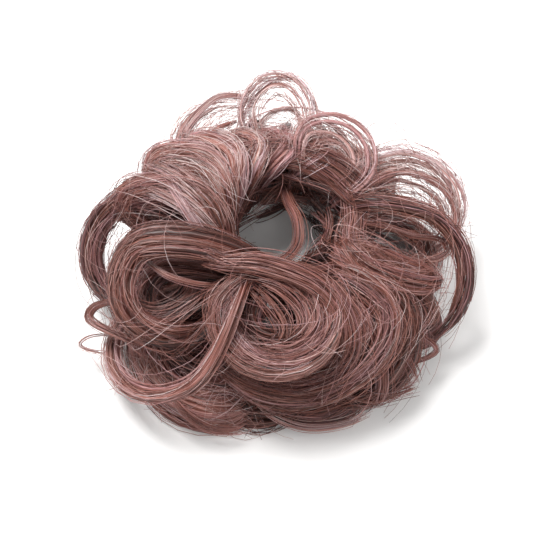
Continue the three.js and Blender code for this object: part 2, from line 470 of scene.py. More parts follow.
class TubeMesh:
    """Gathers many closed tubes and makes them one mesh.

    FLOOR_GAP and PATTERN_SHIFT are in millimetres, and FLAT_SHARE is a flat tube's thickness beside its
    width."""

    FLOOR_GAP = 0.05
    FLAT_SHARE = 0.65
    PATTERN_SHIFT = (7.3, 80.3)

    def __init__(self, name: str) -> None:
        """Starts an empty mesh.

        Args:
            name: the piece's name.
        """
        self.name = name
        self.vertices: list[Array] = []
        self.loops: list[Array] = []
        self.sizes: list[Array] = []
        self.uvs: list[Array] = []
        self.tints: list[Array] = []
        self.count = 0
        self.triangles = 0

    def add(self, paths: Array, radii: Array, sides: int, tone: Array, hue: Array,
            along: Array | None = None, flatten: Array | None = None) -> None:
        """Adds one tube along each path.

        Args:
            paths: points in millimetres, one row for each tube.
            radii: the tube's radius at each point.
            sides: how many sides each tube has.
            tone: each tube's place on the fibre's ramp from dark to light.
            hue: each tube's lean from rose, at 0, to gold, at 1.
            along: how far each point is from the root, from 0 to 1, or None for even steps.
            flatten: a direction for each point, which the section's wide side follows, or None for a
                round section.
        """
        tubes, steps = paths.shape[:2]
        way = unit(np.gradient(paths, axis=1))
        normal = np.empty_like(way)
        if flatten is None:
            helper = np.where(np.abs(way[:, 0, 2:3]) < 0.9, [[0.0, 0.0, 1.0]], [[1.0, 0.0, 0.0]])
            normal[:, 0] = unit(np.cross(way[:, 0], helper))
            for i in range(1, steps):
                last = normal[:, i - 1]
                normal[:, i] = unit(last - way[:, i] * np.sum(last * way[:, i], axis=-1, keepdims=True))
        else:
            normal = unit(flatten - way * np.sum(flatten * way, axis=-1, keepdims=True))
        thin = 1.0 if flatten is None else self.FLAT_SHARE
        cross = thin * np.cross(way, normal)
        angle = 2 * np.pi * np.arange(sides) / sides
        ring = normal[:, :, None] * np.cos(angle)[:, None] + cross[:, :, None] * np.sin(angle)[:, None]
        radii = np.broadcast_to(radii, (tubes, steps))
        points = paths[:, :, None] + radii[:, :, None, None] * ring
        points[..., 2] = np.maximum(points[..., 2], self.FLOOR_GAP)
        self.vertices.append(points.reshape(-1, 3))
        self._add_faces(paths, radii, sides)
        if along is None:
            along = np.linspace(0, 1, steps)[None]
        shape = (tubes, steps, sides)
        parts = (tone[:, None, None], along[..., None], hue[:, None, None], np.ones(shape))
        tints = np.stack([np.broadcast_to(part, shape) for part in parts], axis=-1)
        self.tints.append(tints.reshape(-1, 4))
        self.count += tubes * steps * sides
        self.triangles += tubes * ((steps - 1) * sides * 2 + 2 * (sides - 2))

    def _add_faces(self, paths: Array, radii: Array, sides: int) -> None:
        """Adds the sides and both ends of tubes, with coordinates in millimetres round and along them.

        Args:
            paths: points in millimetres, one row for each tube.
            radii: the tube's radius at each point.
            sides: how many sides each tube has.
        """
        tubes, steps = paths.shape[:2]
        side = np.arange(sides)
        after = (side + 1) % sides
        base = (np.arange(steps - 1) * sides)[:, None]
        quads = np.stack([base + side, base + after, base + sides + after, base + sides + side], axis=-1)
        start = self.count + np.arange(tubes) * steps * sides
        self.loops.append((start[:, None, None, None] + quads[None]).reshape(-1))
        self.sizes.append(np.full(tubes * quads.shape[0] * sides, 4))
        gone = np.cumsum(np.linalg.norm(np.diff(paths, axis=1), axis=-1), axis=1)
        length = np.concatenate([np.zeros((tubes, 1)), gone], axis=1)
        # Each tube takes its own part of the pattern, so that no two look alike
        shift_u, shift_v = (np.arange(tubes)[:, None] * shift for shift in self.PATTERN_SHIFT)
        edge = radii.mean(axis=1)[:, None] * 2 * np.pi / sides
        u0 = np.broadcast_to((shift_u + edge * side)[:, None, :], (tubes, steps - 1, sides))
        u1 = u0 + edge[:, None]
        ends = (length[:, :-1], length[:, 1:])
        v0, v1 = (np.broadcast_to((end + shift_v)[..., None], u0.shape) for end in ends)
        self.uvs.append(np.stack([u0, v0, u1, v0, u1, v1, u0, v1], axis=-1).reshape(-1, 2))
        first = (start[:, None] + side[::-1]).reshape(-1)
        last = (start[:, None] + (steps - 1) * sides + side).reshape(-1)
        for cap in (first, last):
            self.loops.append(cap)
            self.sizes.append(np.full(tubes, sides))
            self.uvs.append(np.zeros((tubes * sides, 2)))

    def build(self, origin: Array, material: bpy.types.Material) -> bpy.types.Object:
        """Makes the object.

        Args:
            origin: the place of the band's axis on the floor, in millimetres.
            material: the finish.

        Returns:
            The new object, linked to the scene.
        """
        mesh = bpy.data.meshes.new(self.name)
        points = (np.concatenate(self.vertices) + origin) * MM
        loops = np.concatenate(self.loops)
        sizes = np.concatenate(self.sizes)
        mesh.vertices.add(len(points))
        mesh.vertices.foreach_set("co", points.astype(np.float32).reshape(-1))
        mesh.loops.add(len(loops))
        mesh.loops.foreach_set("vertex_index", loops.astype(np.int32))
        mesh.polygons.add(len(sizes))
        mesh.polygons.foreach_set("loop_start", (np.cumsum(sizes) - sizes).astype(np.int32))
        mesh.polygons.foreach_set("use_smooth", np.ones(len(sizes), dtype=bool))
        layer = mesh.uv_layers.new(name="fibre")
        layer.uv.foreach_set("vector", np.concatenate(self.uvs).astype(np.float32).reshape(-1))
        tint = mesh.color_attributes.new(name="strand", type="FLOAT_COLOR", domain="POINT")
        tint.data.foreach_set("color", np.concatenate(self.tints).astype(np.float32).reshape(-1))
        mesh.update(calc_edges=True)
        mesh.validate()
        mesh.materials.append(material)
        piece = bpy.data.objects.new(self.name, mesh)
        bpy.context.scene.collection.objects.link(piece)
        return piece


@dataclass(frozen=True)
class ModacrylicFibre:
    """Curled modacrylic fibre: spun smooth, dyed in several mauve browns, and set in curls with steam,
    which gives it a satin shine along every curl and many tones in one lock."""

    tones: tuple[tuple[float, str], ...] = (
        (0.0, "#250c08"), (0.25, "#592c22"), (0.5, "#945a4e"), (0.75, "#ba938e"), (1.0, "#e2d3d1"))
    rose: str = "#b18c99"
    gold: str = "#a3836a"
    roughness: float = 0.42
    shine: float = 0.65
    fibre_spacing_mm: float = 0.45
    streak_length_mm: float = 24.0

    def material(self) -> bpy.types.Material:
        """Builds the finish: tone by strand, streaks along it, and fine ridges across bundles.

        Returns:
            The new material.
        """
        material = bpy.data.materials.new("curled_modacrylic_fibre")
        material.use_nodes = True
        tree = material.node_tree
        tree.nodes.clear()
        strand = add_node(tree, "ShaderNodeVertexColor", layer_name="strand")
        parts = add_node(tree, "ShaderNodeSeparateColor", {"Color": strand.outputs["Color"]})
        place = add_node(tree, "ShaderNodeUVMap", uv_map="fibre")
        # Real fibres lie 0.1 mm apart: drawn at 0.45 mm, because finer doesn't show
        stretched = add_node(tree, "ShaderNodeMapping", {
            "Vector": place.outputs["UV"],
            "Scale": (1 / self.fibre_spacing_mm, 1 / self.streak_length_mm, 1.0)})
        streaks = add_node(tree, "ShaderNodeTexNoise", {
            "Vector": stretched.outputs["Vector"], "Scale": 1.0, "Detail": 2.0, "Roughness": 0.6})
        # Streaks give each bundle its lighter and darker fibres
        lighter = add_node(tree, "ShaderNodeMapRange", {
            "Value": streaks.outputs["Fac"], "From Min": 0.3, "From Max": 0.7,
            "To Min": -0.30, "To Max": 0.24})
        toned = add_node(tree, "ShaderNodeMath", {
            0: parts.outputs["Red"], 1: lighter.outputs["Result"]}, operation="ADD")
        # Painted shade: darker near the weft, where the roots are packed under the locks
        painted_root_shade = add_node(tree, "ShaderNodeMapRange", {
            "Value": parts.outputs["Green"], "From Min": 0.0, "From Max": 0.2,
            "To Min": -0.16, "To Max": 0.0})
        tone = add_node(tree, "ShaderNodeMath", {
            0: toned.outputs["Value"], 1: painted_root_shade.outputs["Result"]}, operation="ADD", use_clamp=True)
        ramp = add_node(tree, "ShaderNodeValToRGB", {"Fac": tone.outputs["Value"]})
        while len(ramp.color_ramp.elements) < len(self.tones):
            ramp.color_ramp.elements.new(0.5)
        for element, (position, colour) in zip(ramp.color_ramp.elements, self.tones):
            element.position = position
            element.color = linear(colour)
        # Two in five strands lean to rose and two in five to gold, as mixed dye lots do, and it shows
        # most where they are light
        dyed = ramp.outputs["Color"]
        for dye, none, full, share in ((self.rose, 0.4, 0.0, 0.6), (self.gold, 0.6, 1.0, 0.22)):
            leaning = add_node(tree, "ShaderNodeMapRange", {
                "Value": parts.outputs["Blue"], "From Min": none, "From Max": full,
                "To Min": 0.0, "To Max": share})
            shown = add_node(tree, "ShaderNodeMath", {
                0: leaning.outputs["Result"], 1: tone.outputs["Value"]}, operation="MULTIPLY")
            dyed = add_node(tree, "ShaderNodeMix", {
                0: shown.outputs["Value"], 6: dyed, 7: linear(dye)}, data_type="RGBA").outputs[2]
        ridges = add_node(tree, "ShaderNodeBump", {
            "Height": streaks.outputs["Fac"], "Strength": 0.6, "Distance": 0.3 * MM})
        shader = add_node(tree, "ShaderNodeBsdfPrincipled", {
            "Base Color": dyed, "Roughness": self.roughness, "Specular IOR Level": self.shine,
            "Normal": ridges.outputs["Normal"]})
        add_node(tree, "ShaderNodeOutputMaterial", {"Surface": shader.outputs["BSDF"]})
        return material


@dataclass(frozen=True)
class BraidedElastic:
    """Braided elastic: a rubber core in a tube of polyester yarn, which gives it a matt, ribbed face."""

    yarn: str = "#2b1e1d"
    gap: str = "#120b0b"
    roughness: float = 0.8
    yarn_width_mm: float = 0.7

    def material(self) -> bpy.types.Material:
        """Builds the finish: yarns crossing on a slant round the core.

        Returns:
            The new material.
        """
        material = bpy.data.materials.new("braided_polyester_elastic")
        material.use_nodes = True
        tree = material.node_tree
        tree.nodes.clear()
        place = add_node(tree, "ShaderNodeTexCoord")
        # At scale 1 half a wave of this texture, one yarn, takes pi / 10 of a metre along each axis
        yarns = add_node(tree, "ShaderNodeTexWave", {
            "Vector": place.outputs["Object"], "Scale": math.pi / 10 / (self.yarn_width_mm * MM),
            "Distortion": 2.0, "Detail": 1.0}, bands_direction="DIAGONAL")
        colour = add_node(tree, "ShaderNodeMix", {
            0: yarns.outputs["Fac"], 6: linear(self.gap), 7: linear(self.yarn)}, data_type="RGBA")
        ribs = add_node(tree, "ShaderNodeBump", {
            "Height": yarns.outputs["Fac"], "Strength": 0.6, "Distance": self.yarn_width_mm * MM / 2})
        shader = add_node(tree, "ShaderNodeBsdfPrincipled", {
            "Base Color": colour.outputs[2], "Roughness": self.roughness, "Normal": ribs.outputs["Normal"]})
        add_node(tree, "ShaderNodeOutputMaterial", {"Surface": shader.outputs["BSDF"]})
        return material


@dataclass(frozen=True)
class Lay:
    """How hair lies in every tuft. Pairs are the least and the most, and places are shares of a length.

    A shade, a step and a tone are on the fibre's ramp from dark to light, turns are in radians, and veil
    angles in degrees. Fly is the shape and scale of the draws for how far hairs lift, and fray is how far
    free ends part, across a lock and through it."""

    bundle_end: Span = (0.88, 1.0)
    bundle_size: Span = (0.8, 1.1)
    bundle_rest: float = 0.6
    bundle_shade: float = 0.20
    taper: float = 0.8
    taper_from: float = 0.75
    late_share: float = 0.7
    late_start: Span = (0.0, 0.6)
    strand_length: Span = (0.35, 0.65)
    strand_size: Span = (0.65, 1.25)
    strand_loose: Span = (0.95, 1.25)
    swirl: Span = (-0.9, 0.9)
    sink: float = 0.15
    waves: Span = (0.4, 1.4)
    fly_share: float = 0.22
    fly: tuple[float, float] = (1.5, 0.6)
    fray_from: float = 0.4
    fray: tuple[float, float] = (1.1, 1.5)
    tone_spread: float = 0.11
    hue_spread: float = 0.25
    bright_share: float = 0.12
    bright_step: float = 0.18
    tangle_place: Span = (0.15, 0.95)
    tangle_size: Span = (0.8, 1.5)
    tangle_turn: Span = (0.35, 1.7)
    tangle_drop: float = 0.09
    tangle_past_mm: float = 2.0
    far_share: float = 0.2
    knot_steps: float = 2.6
    wisp_start: Span = (0.0, 0.22)
    wisp_end: Span = (0.8, 1.0)
    wisp_size: Span = (0.65, 1.2)
    leave_share: float = 0.15
    leave: Span = (0.2, 0.9)
    veil_start: Span = (-18.0, 18.0)
    veil_sweep: Span = (30.0, 75.0)
    veil_lean: Span = (35.0, 150.0)
    weft_tone: Span = (0.28, 0.5)
    wall_shade_tone: Span = (0.08, 0.3)
    nest_shade_tone: Span = (0.06, 0.24)
    nest_turn: Span = (2.0, 4.5)
    wrap_length: Span = (0.25, 0.9)
    wrap_turn: Span = (2.2, 4.6)


@dataclass
class Tuft:
    """One tuft: its curls as bundles and strands, wisps, stray hairs, and the weft on the elastic.

    Lengths are in millimetres and angles in degrees, pairs are the least and the most, and bundles,
    strands and tangle are numbers for a lock of the bun's own section."""

    name: str
    middle: float
    seed: int
    curls: list[Curl]
    wisps: list[Wisp] = field(default_factory=list)
    nest: int = 14
    arc: float = 36.0
    bundles: float = 13.0
    strands: float = 185.0
    tangle: float = 44.0
    strays: int = 75
    cords: int = 9
    wraps: int = 18
    veils: int = 9
    strand_radius: float = 0.16
    stray_radius: float = 0.08
    cord_radius: float = 1.95
    cord_off: float = 4.9
    wrap_off: Span = (6.5, 7.1)
    wall: Span = (20.5, 24.0)
    wall_height: Span = (6.0, 46.0)
    nest_level: Span = (36.0, 62.0)
    nest_height: Span = (7.0, 24.0)
    nest_size: Span = (8.0, 19.0)
    nest_radius: float = 1.9
    tangle_bend: Span = (10.0, 40.0)
    tangle_length: Span = (16.0, 44.0)
    wander: float = 0.16
    core_steps: int = 26
    strand_steps: int = 14
    lay: Lay = Lay()
    band: Band = field(init=False)
    rng: np.random.Generator = field(init=False)
    mesh: TubeMesh = field(init=False)

    def build(self, band: Band, material: bpy.types.Material) -> int:
        """Makes the tuft, in place of its solid in the frame.

        Args:
            band: where the elastic lies.
            material: the fibre's finish.

        Returns:
            How many triangles it has.
        """
        self.band = band
        self.rng = np.random.default_rng(self.seed)
        self.mesh = TubeMesh(self.name.replace("tuft", "hair"))
        self._wind_weft()
        self._lay_veils()
        self._lay_nest()
        for curl in self.curls:
            self._lay_curl(CurlPath(curl, band))
        for wisp in self.wisps:
            self._lay_wisp(wisp)
        self._lay_strays()
        piece = self.mesh.build(band.axis, material)
        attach(piece, "root")
        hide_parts(self.name)
        return self.mesh.triangles

    def _lay_curl(self, path: CurlPath) -> None:
        """Lays one lock: bundles that fill it, strands over them, and loose hairs that cross it.

        Args:
            path: the lock's line.
        """
        curl, fill, lay, rng = path.curl, path.curl.fill, self.lay, self.rng
        bundles = Bundles(path, self.bundles, rng)
        own = rng.permutation(bundles.count)[:max(1, round(bundles.count * fill.bundles))]
        end = np.ones(len(own)) if curl.back is not None else rng.uniform(*lay.bundle_end, len(own))
        q = end[:, None] * np.linspace(0, 1, self.core_steps)
        a, b = bundles.offsets(own, q)
        taper = 1 - lay.taper * smoothstep(q, lay.taper_from, 1) if curl.back is None else np.ones_like(q)
        full = path.gather(path.full, q) * taper
        radii = fill.thickness * bundles.radius * full * rng.uniform(*lay.bundle_size, (len(own), 1))
        # Bundles lie in the strands' shade, so they are darker
        paths = self.band.settle(path.place(q, a, b), radii * lay.bundle_rest)
        self.mesh.add(paths, radii, BUNDLE_SIDES, bundles.tone[own] - lay.bundle_shade * fill.thickness,
                      bundles.hue[own], path.from_root(q), path.gather(path.flat, q))
        self._lay_strands(path, bundles)
        if fill is not Fill.UNDER:
            self._lay_tangle(path)

    def _lay_strands(self, path: CurlPath, bundles: Bundles) -> None:
        """Lays the strands that show over a lock's bundles. Each shows for a part of the lock's length.

        Args:
            path: the lock's line.
            bundles: the lock's bundles.
        """
        curl, lay, rng = path.curl, self.lay, self.rng
        count = round(self.strands * curl.width * curl.fill.strands)
        own = rng.integers(0, bundles.count, count)
        s = np.linspace(0, 1, self.strand_steps)[None]
        begin = rng.uniform(*lay.late_start, count) * (rng.random(count) < lay.late_share)
        finish = np.minimum(begin + rng.uniform(*lay.strand_length, count), 1)
        q = begin[:, None] + (finish - begin)[:, None] * s
        a, b = bundles.offsets(own, q)
        outward = np.arctan2(bundles.b[own], bundles.a[own]) + rng.normal(0, 1.0, count)
        swirl = outward[:, None] + bundles.twist * (q - 0.5) + rng.uniform(*lay.swirl, (count, 1)) * s
        # A strand sinks into its bundle at both ends, but not where the lock's own end is free
        free = (finish >= 1) & (curl.back is None)
        sink = smoothstep(s, 0, lay.sink) * (1 - smoothstep(s, 1 - lay.sink, 1) * ~free[:, None])
        loose = (0.5 + 0.5 * sink) * rng.uniform(*lay.strand_loose, (count, 1))
        fly = np.where(rng.random((count, 1)) < lay.fly_share, rng.gamma(*lay.fly, (count, 1)), 0.0)
        reach = bundles.radius * (loose + fly * np.sin(np.pi * s) ** 1.5)
        a = a + reach / path.half_width * np.cos(swirl)
        b = b + reach / path.half_thick * np.sin(swirl)
        wave = rng.uniform(*lay.waves, (2, count, 1)) * s + rng.random((2, count, 1))
        drift = rng.normal(0, self.wander, (2, count, 1)) * np.sin(2 * np.pi * wave)
        fray = smoothstep(s, lay.fray_from, 1) * free[:, None]
        a = a + drift[0] + fray * rng.normal(0, lay.fray[0], (count, 1))
        b = b + drift[1] + fray * rng.normal(0, lay.fray[1], (count, 1))
        width = self.strand_radius * rng.uniform(*lay.strand_size, (count, 1)) * (1 - 0.5 * fray)
        paths = self.band.settle(path.place(q, a, b), width + rng.uniform(0, 1.5, (count, 1)))
        bright = lay.bright_step * (rng.random(count) < lay.bright_share)
        tone = bundles.tone[own] + rng.normal(0, lay.tone_spread, count) + bright
        hue = np.clip(bundles.hue[own] + rng.normal(0, lay.hue_spread, count), 0, 1)
        self.mesh.add(paths, width, HAIR_SIDES, tone, hue, path.from_root(q))

    def _lay_tangle(self, path: CurlPath) -> None:
        """Lays hairs that have come loose from a lock and lie across its outer face.

        Args:
            path: the lock's line.
        """
        lay, rng = self.lay, self.rng
        count, steps = round(self.tangle * path.curl.width), 9
        q = rng.uniform(*lay.tangle_place, count)
        tables = (path.points, path.way, path.flat, path.deep)
        middle, way, flat, deep = (path.gather(table, q) for table in tables)
        out = np.sign(deep[:, 2:3] + 0.3 * rng.normal(0, 1, (count, 1))) * deep
        lean = rng.normal(0, 0.9, (count, 1))
        first = unit(np.cos(lean) * way + np.sin(lean) * flat)
        second = np.cross(out, first) * rng.choice([-1.0, 1.0], (count, 1))
        size = rng.uniform(*self.tangle_bend, (count, 1, 1))
        half_length = rng.uniform(*self.tangle_length, (count, 1)) / 2
        half_turn = np.clip(half_length / size[:, 0], *lay.tangle_turn)
        turn = half_turn * np.linspace(-1, 1, steps)
        arc = size * (np.sin(turn)[..., None] * first[:, None]
                      + (1 - np.cos(turn))[..., None] * second[:, None])
        side = rng.uniform(-0.9, 0.9, (count, 1)) * path.half_width
        lift = path.half_thick + rng.gamma(*lay.fly, (count, 1))
        paths = (middle + side * flat + lift * out)[:, None] + arc
        paths = paths - (lay.tangle_drop * np.sum(arc * arc, axis=-1, keepdims=True) / size) * out[:, None]
        # Few hairs go far past the lock's outer edge
        past = np.linalg.norm(paths[..., :2], axis=-1).max(axis=-1) - np.linalg.norm(middle[:, :2], axis=-1)
        near = past < path.half_width + lay.tangle_past_mm
        paths = paths[self.band.inside(paths) & (near | (rng.random(count) < lay.far_share))]
        count = len(paths)
        width = self.stray_radius * rng.uniform(*lay.tangle_size, (count, 1))
        # Loose hairs are drawn a little lighter than their lock, as painted highlight where they lift into
        # the light; their tones also differ at random
        self.mesh.add(self.band.settle(paths, width), width, HAIR_SIDES,
                      path.curl.tone.value + rng.normal(0.07, 0.15, count), rng.random(count))

    def _lay_wisp(self, wisp: Wisp) -> None:
        """Lays a thin loose lock through its chosen points.

        Args:
            wisp: the lock.
        """
        lay, rng = self.lay, self.rng
        knots = np.array(wisp.points)
        count, steps = wisp.strands, round(lay.knot_steps * len(knots))
        begin = rng.uniform(*lay.wisp_start, (count, 1))
        finish = rng.uniform(*lay.wisp_end, (count, 1))
        s = begin + (finish - begin) * np.linspace(0, 1, steps)
        place = s * (len(knots) - 1)
        low = np.minimum(place.astype(int), len(knots) - 2)
        slopes = np.gradient(knots, axis=0)
        h = (place - low)[..., None]
        line = (knots[low] * (1 + 2 * h) * (1 - h) ** 2 + slopes[low] * h * (1 - h) ** 2
                + knots[low + 1] * h ** 2 * (3 - 2 * h) + slopes[low + 1] * h ** 2 * (h - 1))
        way = unit(np.gradient(line, axis=1))
        side = unit(np.cross(way, [0.0, 0.0, 1.0]))
        rise = np.cross(side, way)
        angle = rng.uniform(0, 2 * np.pi, (count, 1)) + rng.uniform(-1.5, 1.5, (count, 1)) * s
        off = wisp.width / 2 * np.sqrt(rng.random((count, 1)))
        off = off * (0.6 + 0.5 * np.sin(np.pi * s) + 0.5 * smoothstep(s, 0.7, 1))
        leaves = rng.random((count, 1)) < lay.leave_share
        off = off + wisp.width * np.where(leaves, rng.uniform(*lay.leave, (count, 1)), 0) * s
        paths = line + (off * np.cos(angle))[..., None] * side + (0.6 * off * np.sin(angle))[..., None] * rise
        width = self.strand_radius * rng.uniform(*lay.wisp_size, (count, 1))
        width = width * (1 - 0.5 * smoothstep(s, 0.8, 1))
        tone = wisp.tone.value + rng.normal(0, lay.tone_spread, count)
        hue = rng.random(count)
        if wisp.hue is not None:
            hue = np.clip(wisp.hue + 0.2 * hue, 0, 1)
        self.mesh.add(self.band.settle(paths, width), width, HAIR_SIDES, tone, hue, 0.2 + 0.8 * s)

    def _lay_strays(self) -> None:
        """Lays single hairs that have left their locks and curl across them."""
        rng, steps, rows = self.rng, 15, []
        for _ in range(self.strays):
            c = self.curls[rng.integers(0, len(self.curls))]
            flown = rng.random() < self.lay.far_share
            stray = replace(
                c, root=c.root + rng.normal(0, 6), at=c.at + rng.normal(0, 9),
                out=c.out * (rng.uniform(1.05, 1.2) if flown else rng.uniform(0.8, 1.05)),
                long=c.long * rng.uniform(0.5, 1.12),
                wide=c.wide * rng.uniform(0.6, 1.3) + rng.uniform(0, 0.08),
                start=c.start + rng.normal(0, 25), turn=c.turn * rng.uniform(0.5, 1.1),
                z_in=c.z_in + rng.normal(0, 0.07), z_mid=c.z_mid + rng.normal(0.03, 0.14),
                z_out=c.z_out + rng.normal(0.05, 0.16))
            line = CurlLine(stray, self.band)
            rows.append(line.gather(line.points, np.linspace(rng.uniform(0.05, 0.3), 1, steps)))
        paths = np.array(rows)
        paths = paths[self.band.inside(paths)]
        count = len(paths)
        width = self.stray_radius * rng.uniform(0.8, 1.4, (count, 1))
        # Stray hairs are drawn lighter than the main lock tone, as painted highlight where they lift into the
        # light; the spread between them is their own tone
        self.mesh.add(self.band.settle(paths, width), width, HAIR_SIDES, rng.normal(0.54, 0.16, count),
                      rng.random(count))

    def _lay_veils(self) -> None:
        """Lays thin locks that sweep round the opening, in turn down its wall and over the weft. Those down
        the wall are drawn dark, as painted shade inside the opening.
        """
        lay, rng, steps, strands = self.lay, self.rng, 12, 11
        s = np.linspace(0, 1, steps)
        for i in range(self.veils):
            start = math.radians(self.middle + rng.uniform(*lay.veil_start))
            sweep = math.radians(rng.uniform(*lay.veil_sweep)) * rng.choice([-1.0, -1.0, 1.0])
            angle = start + sweep * s + rng.normal(0, 0.08, (strands, 1))
            if i % 2:
                lean = math.radians(rng.uniform(*lay.veil_lean)) + rng.uniform(-0.9, 0.9) * s
                clear = self.band.sizes.weft_radius + rng.uniform(0.2, 3.5)
                off = clear + rng.uniform(0, 3) * np.sin(np.pi * s)
                shift = rng.normal(0, 0.8, (strands, 1))
                paths = self.band.ring(angle, off + shift, lean + rng.normal(0, 0.12, (strands, 1)))
                tone = rng.uniform(*lay.weft_tone)
            else:
                height = rng.uniform(*self.wall_height) + rng.uniform(-9, 9) * s
                height = height + rng.normal(0, 1.5, (strands, 1))
                level = rng.uniform(*self.wall) + rng.normal(0, 0.8, (strands, 1)) + 4 * (2 * s - 1) ** 2
                paths = np.stack([level * np.cos(angle), level * np.sin(angle), height], axis=-1)
                # Wall locks are drawn dark: painted shade inside the opening
                tone = rng.uniform(*lay.wall_shade_tone)
            width = self.strand_radius * rng.uniform(0.7, 1.2, (strands, 1))
            self.mesh.add(self.band.settle(paths, width), width, HAIR_SIDES,
                          tone + rng.normal(0, 0.1, strands), rng.random(strands))

    def _lay_nest(self) -> None:
        """Lays the short tangled curls that fill the dark inside of the bun under its locks, drawn very dark
        as painted shade of it.
        """
        lay, rng, steps, strands = self.lay, self.rng, 13, 6
        s = np.linspace(0, 1, steps)
        for _ in range(self.nest):
            centre = polar(self.middle + rng.uniform(-20, 20)) * rng.uniform(*self.nest_level)
            centre[2] = rng.uniform(*self.nest_height)
            first = unit(rng.normal(0, 1, 3) * [1, 1, 0.4])
            second = unit(np.cross(first, rng.normal(0, 1, 3)))
            turn = rng.uniform(*lay.nest_turn) * s + rng.uniform(0, 2 * np.pi)
            size = rng.uniform(*self.nest_size)
            line = centre + size * (np.cos(turn)[:, None] * first + np.sin(turn)[:, None] * second)
            swell = self.nest_radius * np.sin(np.pi * (0.1 + 0.8 * s))[None]
            # Nest tones lie near the dark end of the ramp: painted shade of the bun's inside, with the cores
            # darker still
            tone = rng.uniform(*lay.nest_shade_tone)
            self.mesh.add(self.band.settle(line[None], 1.3), swell, BUNDLE_SIDES, np.array([tone - 0.05]),
                          rng.random(1))
            drift = rng.normal(0, 1.6, (strands, 1, 3)) + rng.normal(0, 1.5, (strands, 1, 3)) * s[:, None]
            width = np.full((strands, 1), self.strand_radius)
            self.mesh.add(self.band.settle(line + drift, 0.3), width, HAIR_SIDES,
                          tone + rng.normal(0.08, 0.10, strands), rng.random(strands))

    def _wind_weft(self) -> None:
        """Winds the sewn roots round the elastic: thick cords that cover it, and strands over them."""
        lay, rng, steps, cords, wraps = self.lay, self.rng, 14, self.cords, self.wraps
        half = math.radians(self.arc / 2 - 0.5)
        middle = math.radians(self.middle)
        s = np.linspace(-1, 1, steps)[None]
        angle = middle + half * s * np.ones((cords, 1))
        lean = np.arange(cords)[:, None] / cords * 2 * np.pi + 1.6 * s
        self.mesh.add(self.band.ring(angle, np.full_like(angle, self.cord_off), lean),
                      np.full((cords, 1), self.cord_radius), CORD_SIDES, np.full(cords, 0.12),
                      np.full(cords, 0.5))
        start = rng.uniform(-1, 0.9, (wraps, 1))
        along = np.clip(start + rng.uniform(*lay.wrap_length, (wraps, 1)) * (s + 1) / 2, -1, 1)
        lean = rng.uniform(0, 2 * np.pi, (wraps, 1)) + rng.uniform(*lay.wrap_turn, (wraps, 1)) * s
        off = rng.uniform(*self.wrap_off, (wraps, 1)) + 0.15 * np.sin(5 * s + start)
        self.mesh.add(self.band.ring(middle + half * along, off, lean),
                      np.full((wraps, 1), self.strand_radius), HAIR_SIDES,
                      rng.normal(0.30, 0.10, wraps), rng.random(wraps))


